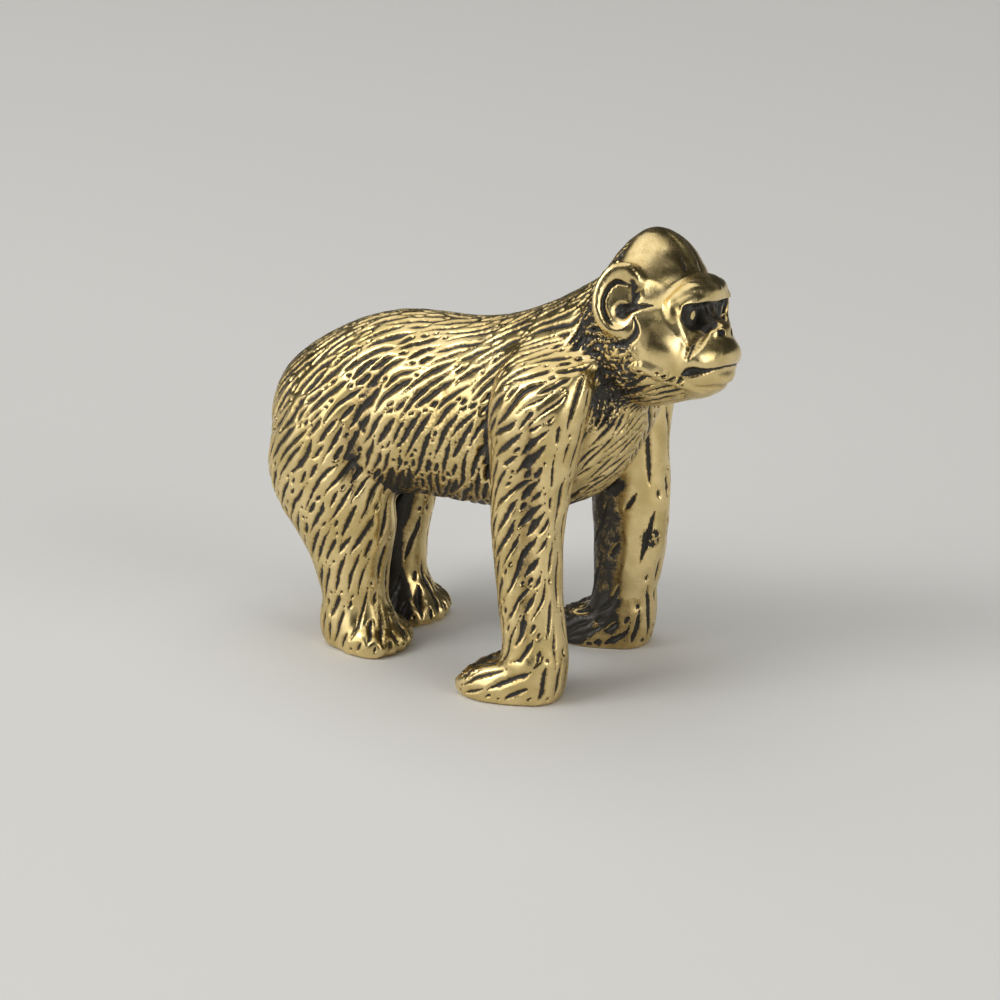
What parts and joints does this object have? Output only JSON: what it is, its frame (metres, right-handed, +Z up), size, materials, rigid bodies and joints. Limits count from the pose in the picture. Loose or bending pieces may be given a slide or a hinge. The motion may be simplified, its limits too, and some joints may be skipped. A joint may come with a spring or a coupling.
{
  "type": "ape figurine",
  "caption": "Solid cast-brass ape standing on its knuckles and soles, with engraved hair and a dark patina, a pocket ornament for a desk or shelf.",
  "frame": {"origin": "on the ground that the soles and knuckles stand on, under the middle of the figure's box", "axes": "+X is the way the ape faces, +Y is its left side, +Z is up"},
  "size_m": [0.0356, 0.0188, 0.0326],
  "materials": {
    "brass": "cast and hand polished, with a black patina left in the hair grooves and hollows"
  },
  "bodies": {
    "root": {"torso": "brass", "skull": "brass", "brow_ridge": "brass", "muzzle": "brass", "nose": "brass", "lower_jaw": "brass", "right_eye": "brass", "left_eye": "brass", "right_ear": "brass", "left_ear": "brass", "right_upper_arm": "brass", "left_upper_arm": "brass", "right_forearm": "brass", "left_forearm": "brass", "right_hand": "brass", "left_hand": "brass", "right_thigh": "brass", "left_thigh": "brass", "right_shank": "brass", "left_shank": "brass", "right_foot": "brass", "left_foot": "brass"}
  },
  "joints": []
}
